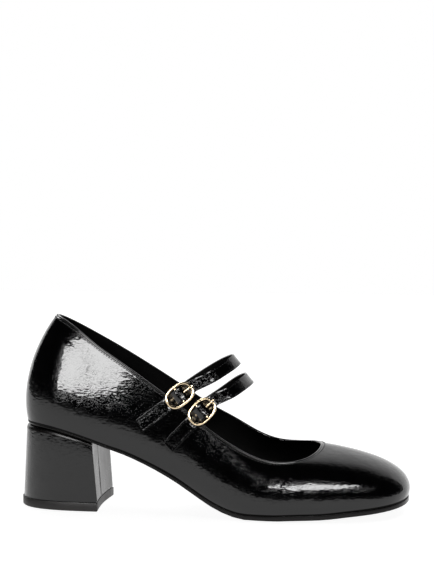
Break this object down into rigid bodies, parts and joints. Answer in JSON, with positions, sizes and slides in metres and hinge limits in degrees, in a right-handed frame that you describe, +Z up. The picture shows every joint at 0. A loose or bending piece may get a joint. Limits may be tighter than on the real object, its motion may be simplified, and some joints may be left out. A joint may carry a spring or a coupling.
{
  "type": "mary jane shoe",
  "caption": "Round-toed patent mary jane with a block heel, a low scooped throat and narrow buckled straps arching over the instep.",
  "frame": {"origin": "middle of the shoe's box in plan, on the floor that it stands on", "axes": "+X runs from the heel to the toe, -Y is the outer side with the buckles, and +Z is up"},
  "size_m": [0.24, 0.0804, 0.1187],
  "materials": {
    "patent_leather": "black crinkled patent, high gloss",
    "lining_leather": "black lining and sock, matte",
    "outsole_rubber": "black unit sole, satin",
    "top_piece_rubber": "dark rubber top piece, matte",
    "gold_metal": "pale gold plate, polished"
  },
  "bodies": {
    "root": {"upper": "patent_leather", "outsole": "outsole_rubber", "insole": "lining_leather", "heel_block": "patent_leather", "top_piece": "top_piece_rubber", "strap_rear": "patent_leather", "chape_rear": "patent_leather", "buckle_rear": "gold_metal", "prong_rear": "gold_metal", "strap_front": "patent_leather", "chape_front": "patent_leather", "buckle_front": "gold_metal", "prong_front": "gold_metal"}
  },
  "joints": []
}
